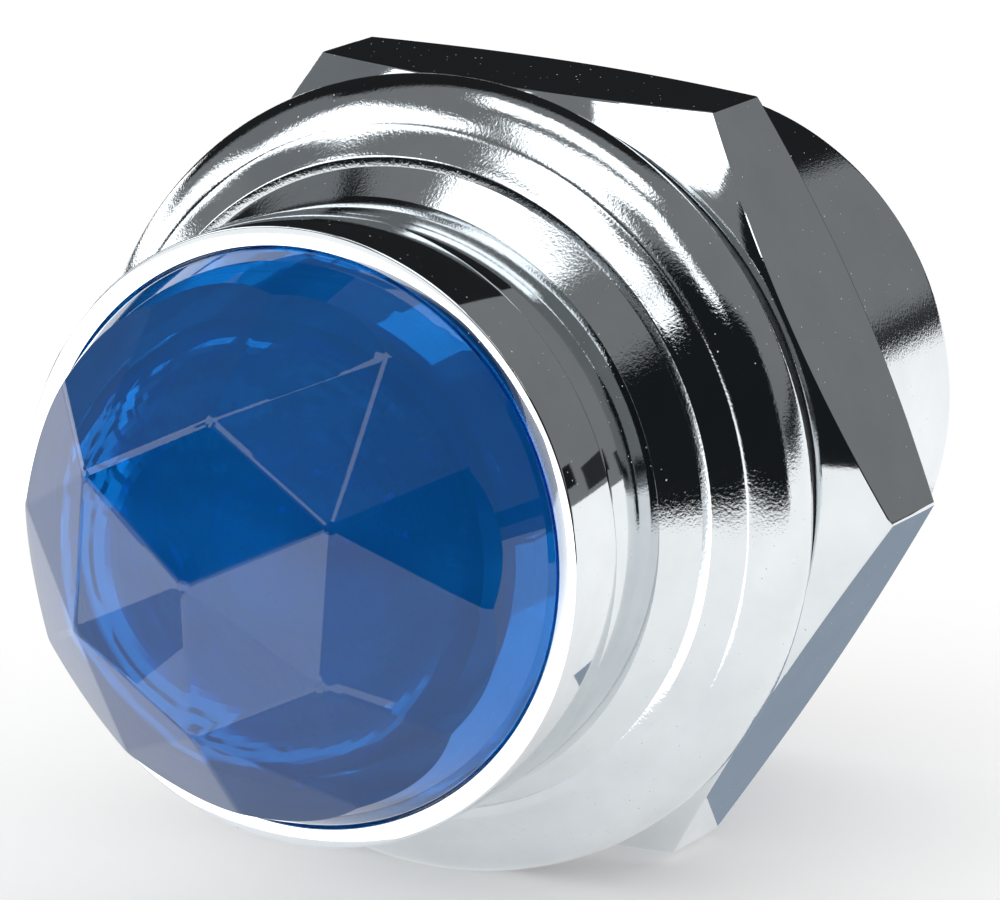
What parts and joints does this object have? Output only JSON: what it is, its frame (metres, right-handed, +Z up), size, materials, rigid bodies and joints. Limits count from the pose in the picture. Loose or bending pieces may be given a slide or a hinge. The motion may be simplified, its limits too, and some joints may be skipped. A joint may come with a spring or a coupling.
{
  "type": "panel pilot light",
  "caption": "Chrome panel pilot light with a domed faceted blue jewel in a screw-on lens cap, a stepped flange, a hexagon nut and a bayonet lamp in a sprung socket.",
  "frame": {"origin": "centre of the flange's rear face, where the light bears on the panel's front", "axes": "-Y out of the panel through the jewel, +Y rearwards through the barrel, +Z up, +X to the right when the jewel is looked at"},
  "size_m": [0.0258, 0.0355, 0.0236],
  "materials": {
    "blue_glass": "deep blue pressed glass, polished facets",
    "chrome_plate": "bright chrome plate on turned brass",
    "black_rubber": "moulded rubber",
    "grey_rubber": "moulded rubber",
    "zinc_steel": "zinc plated spring steel",
    "clear_glass": "clear blown glass",
    "nickel_wire": "drawn wire",
    "brass": "stamped brass",
    "black_enamel": "fused black insulator",
    "solder": "dull solder",
    "brown_phenolic": "paper phenolic sheet",
    "spring_steel": "drawn spring wire",
    "tinned_brass": "tinned stamped brass"
  },
  "bodies": {
    "housing": {"housing": "chrome_plate", "panel_gasket": "black_rubber", "socket_shell": "brass", "shell_rivets": "brass", "terminal_base": "brown_phenolic", "centre_eyelet": "brass", "contact_spring": "spring_steel", "centre_terminal": "tinned_brass", "shell_terminal": "tinned_brass"},
    "seal": {"cap_seal": "grey_rubber"},
    "cap": {"lens_cap": "chrome_plate", "jewel": "blue_glass", "jewel_gasket": "black_rubber"},
    "washer": {"lock_washer": "zinc_steel"},
    "nut": {"hex_nut": "chrome_plate"},
    "lamp": {"lamp_glass": "clear_glass", "lamp_stem": "clear_glass", "lamp_posts": "nickel_wire", "lamp_filament": "nickel_wire", "lamp_cap": "brass", "lamp_pins": "brass", "lamp_insulator": "black_enamel", "lamp_contact": "solder"},
    "plunger": {"contact_plunger": "brass"}
  },
  "joints": [
    {"name": "cap_travel", "type": "slide", "parent": "housing", "child": "seal", "axis": [0, -1, 0], "range_m": [0, 0.0032]},
    {"name": "cap_turn", "type": "hinge", "parent": "seal", "child": "cap", "pos_m": [0, 0, 0], "axis": [0, -1, 0], "range_deg": [0, 1152]},
    {"name": "nut_travel", "type": "slide", "parent": "housing", "child": "washer", "axis": [0, 1, 0], "range_m": [0, 0.003]},
    {"name": "nut_turn", "type": "hinge", "parent": "washer", "child": "nut", "pos_m": [0, 0, 0], "axis": [0, 1, 0], "range_deg": [0, 1080]},
    {"name": "lamp_push", "type": "slide", "parent": "housing", "child": "lamp", "axis": [0, 1, 0], "range_m": [0, 0.0012], "stiffness_N_per_m": 800, "springref_m": -0.0008, "deforming": ["contact_spring"]},
    {"name": "plunger_slide", "type": "slide", "parent": "housing", "child": "plunger", "axis": [0, 1, 0], "range_m": [0, 0.0012], "deforming": ["contact_spring"]}
  ],
  "couplings": [
    {"joint": "cap_turn", "follows": "cap_travel", "rad_per_m": 6283.2},
    {"joint": "nut_turn", "follows": "nut_travel", "rad_per_m": 6283.2},
    {"joint": "plunger_slide", "follows": "lamp_push", "ratio": 1}
  ]
}
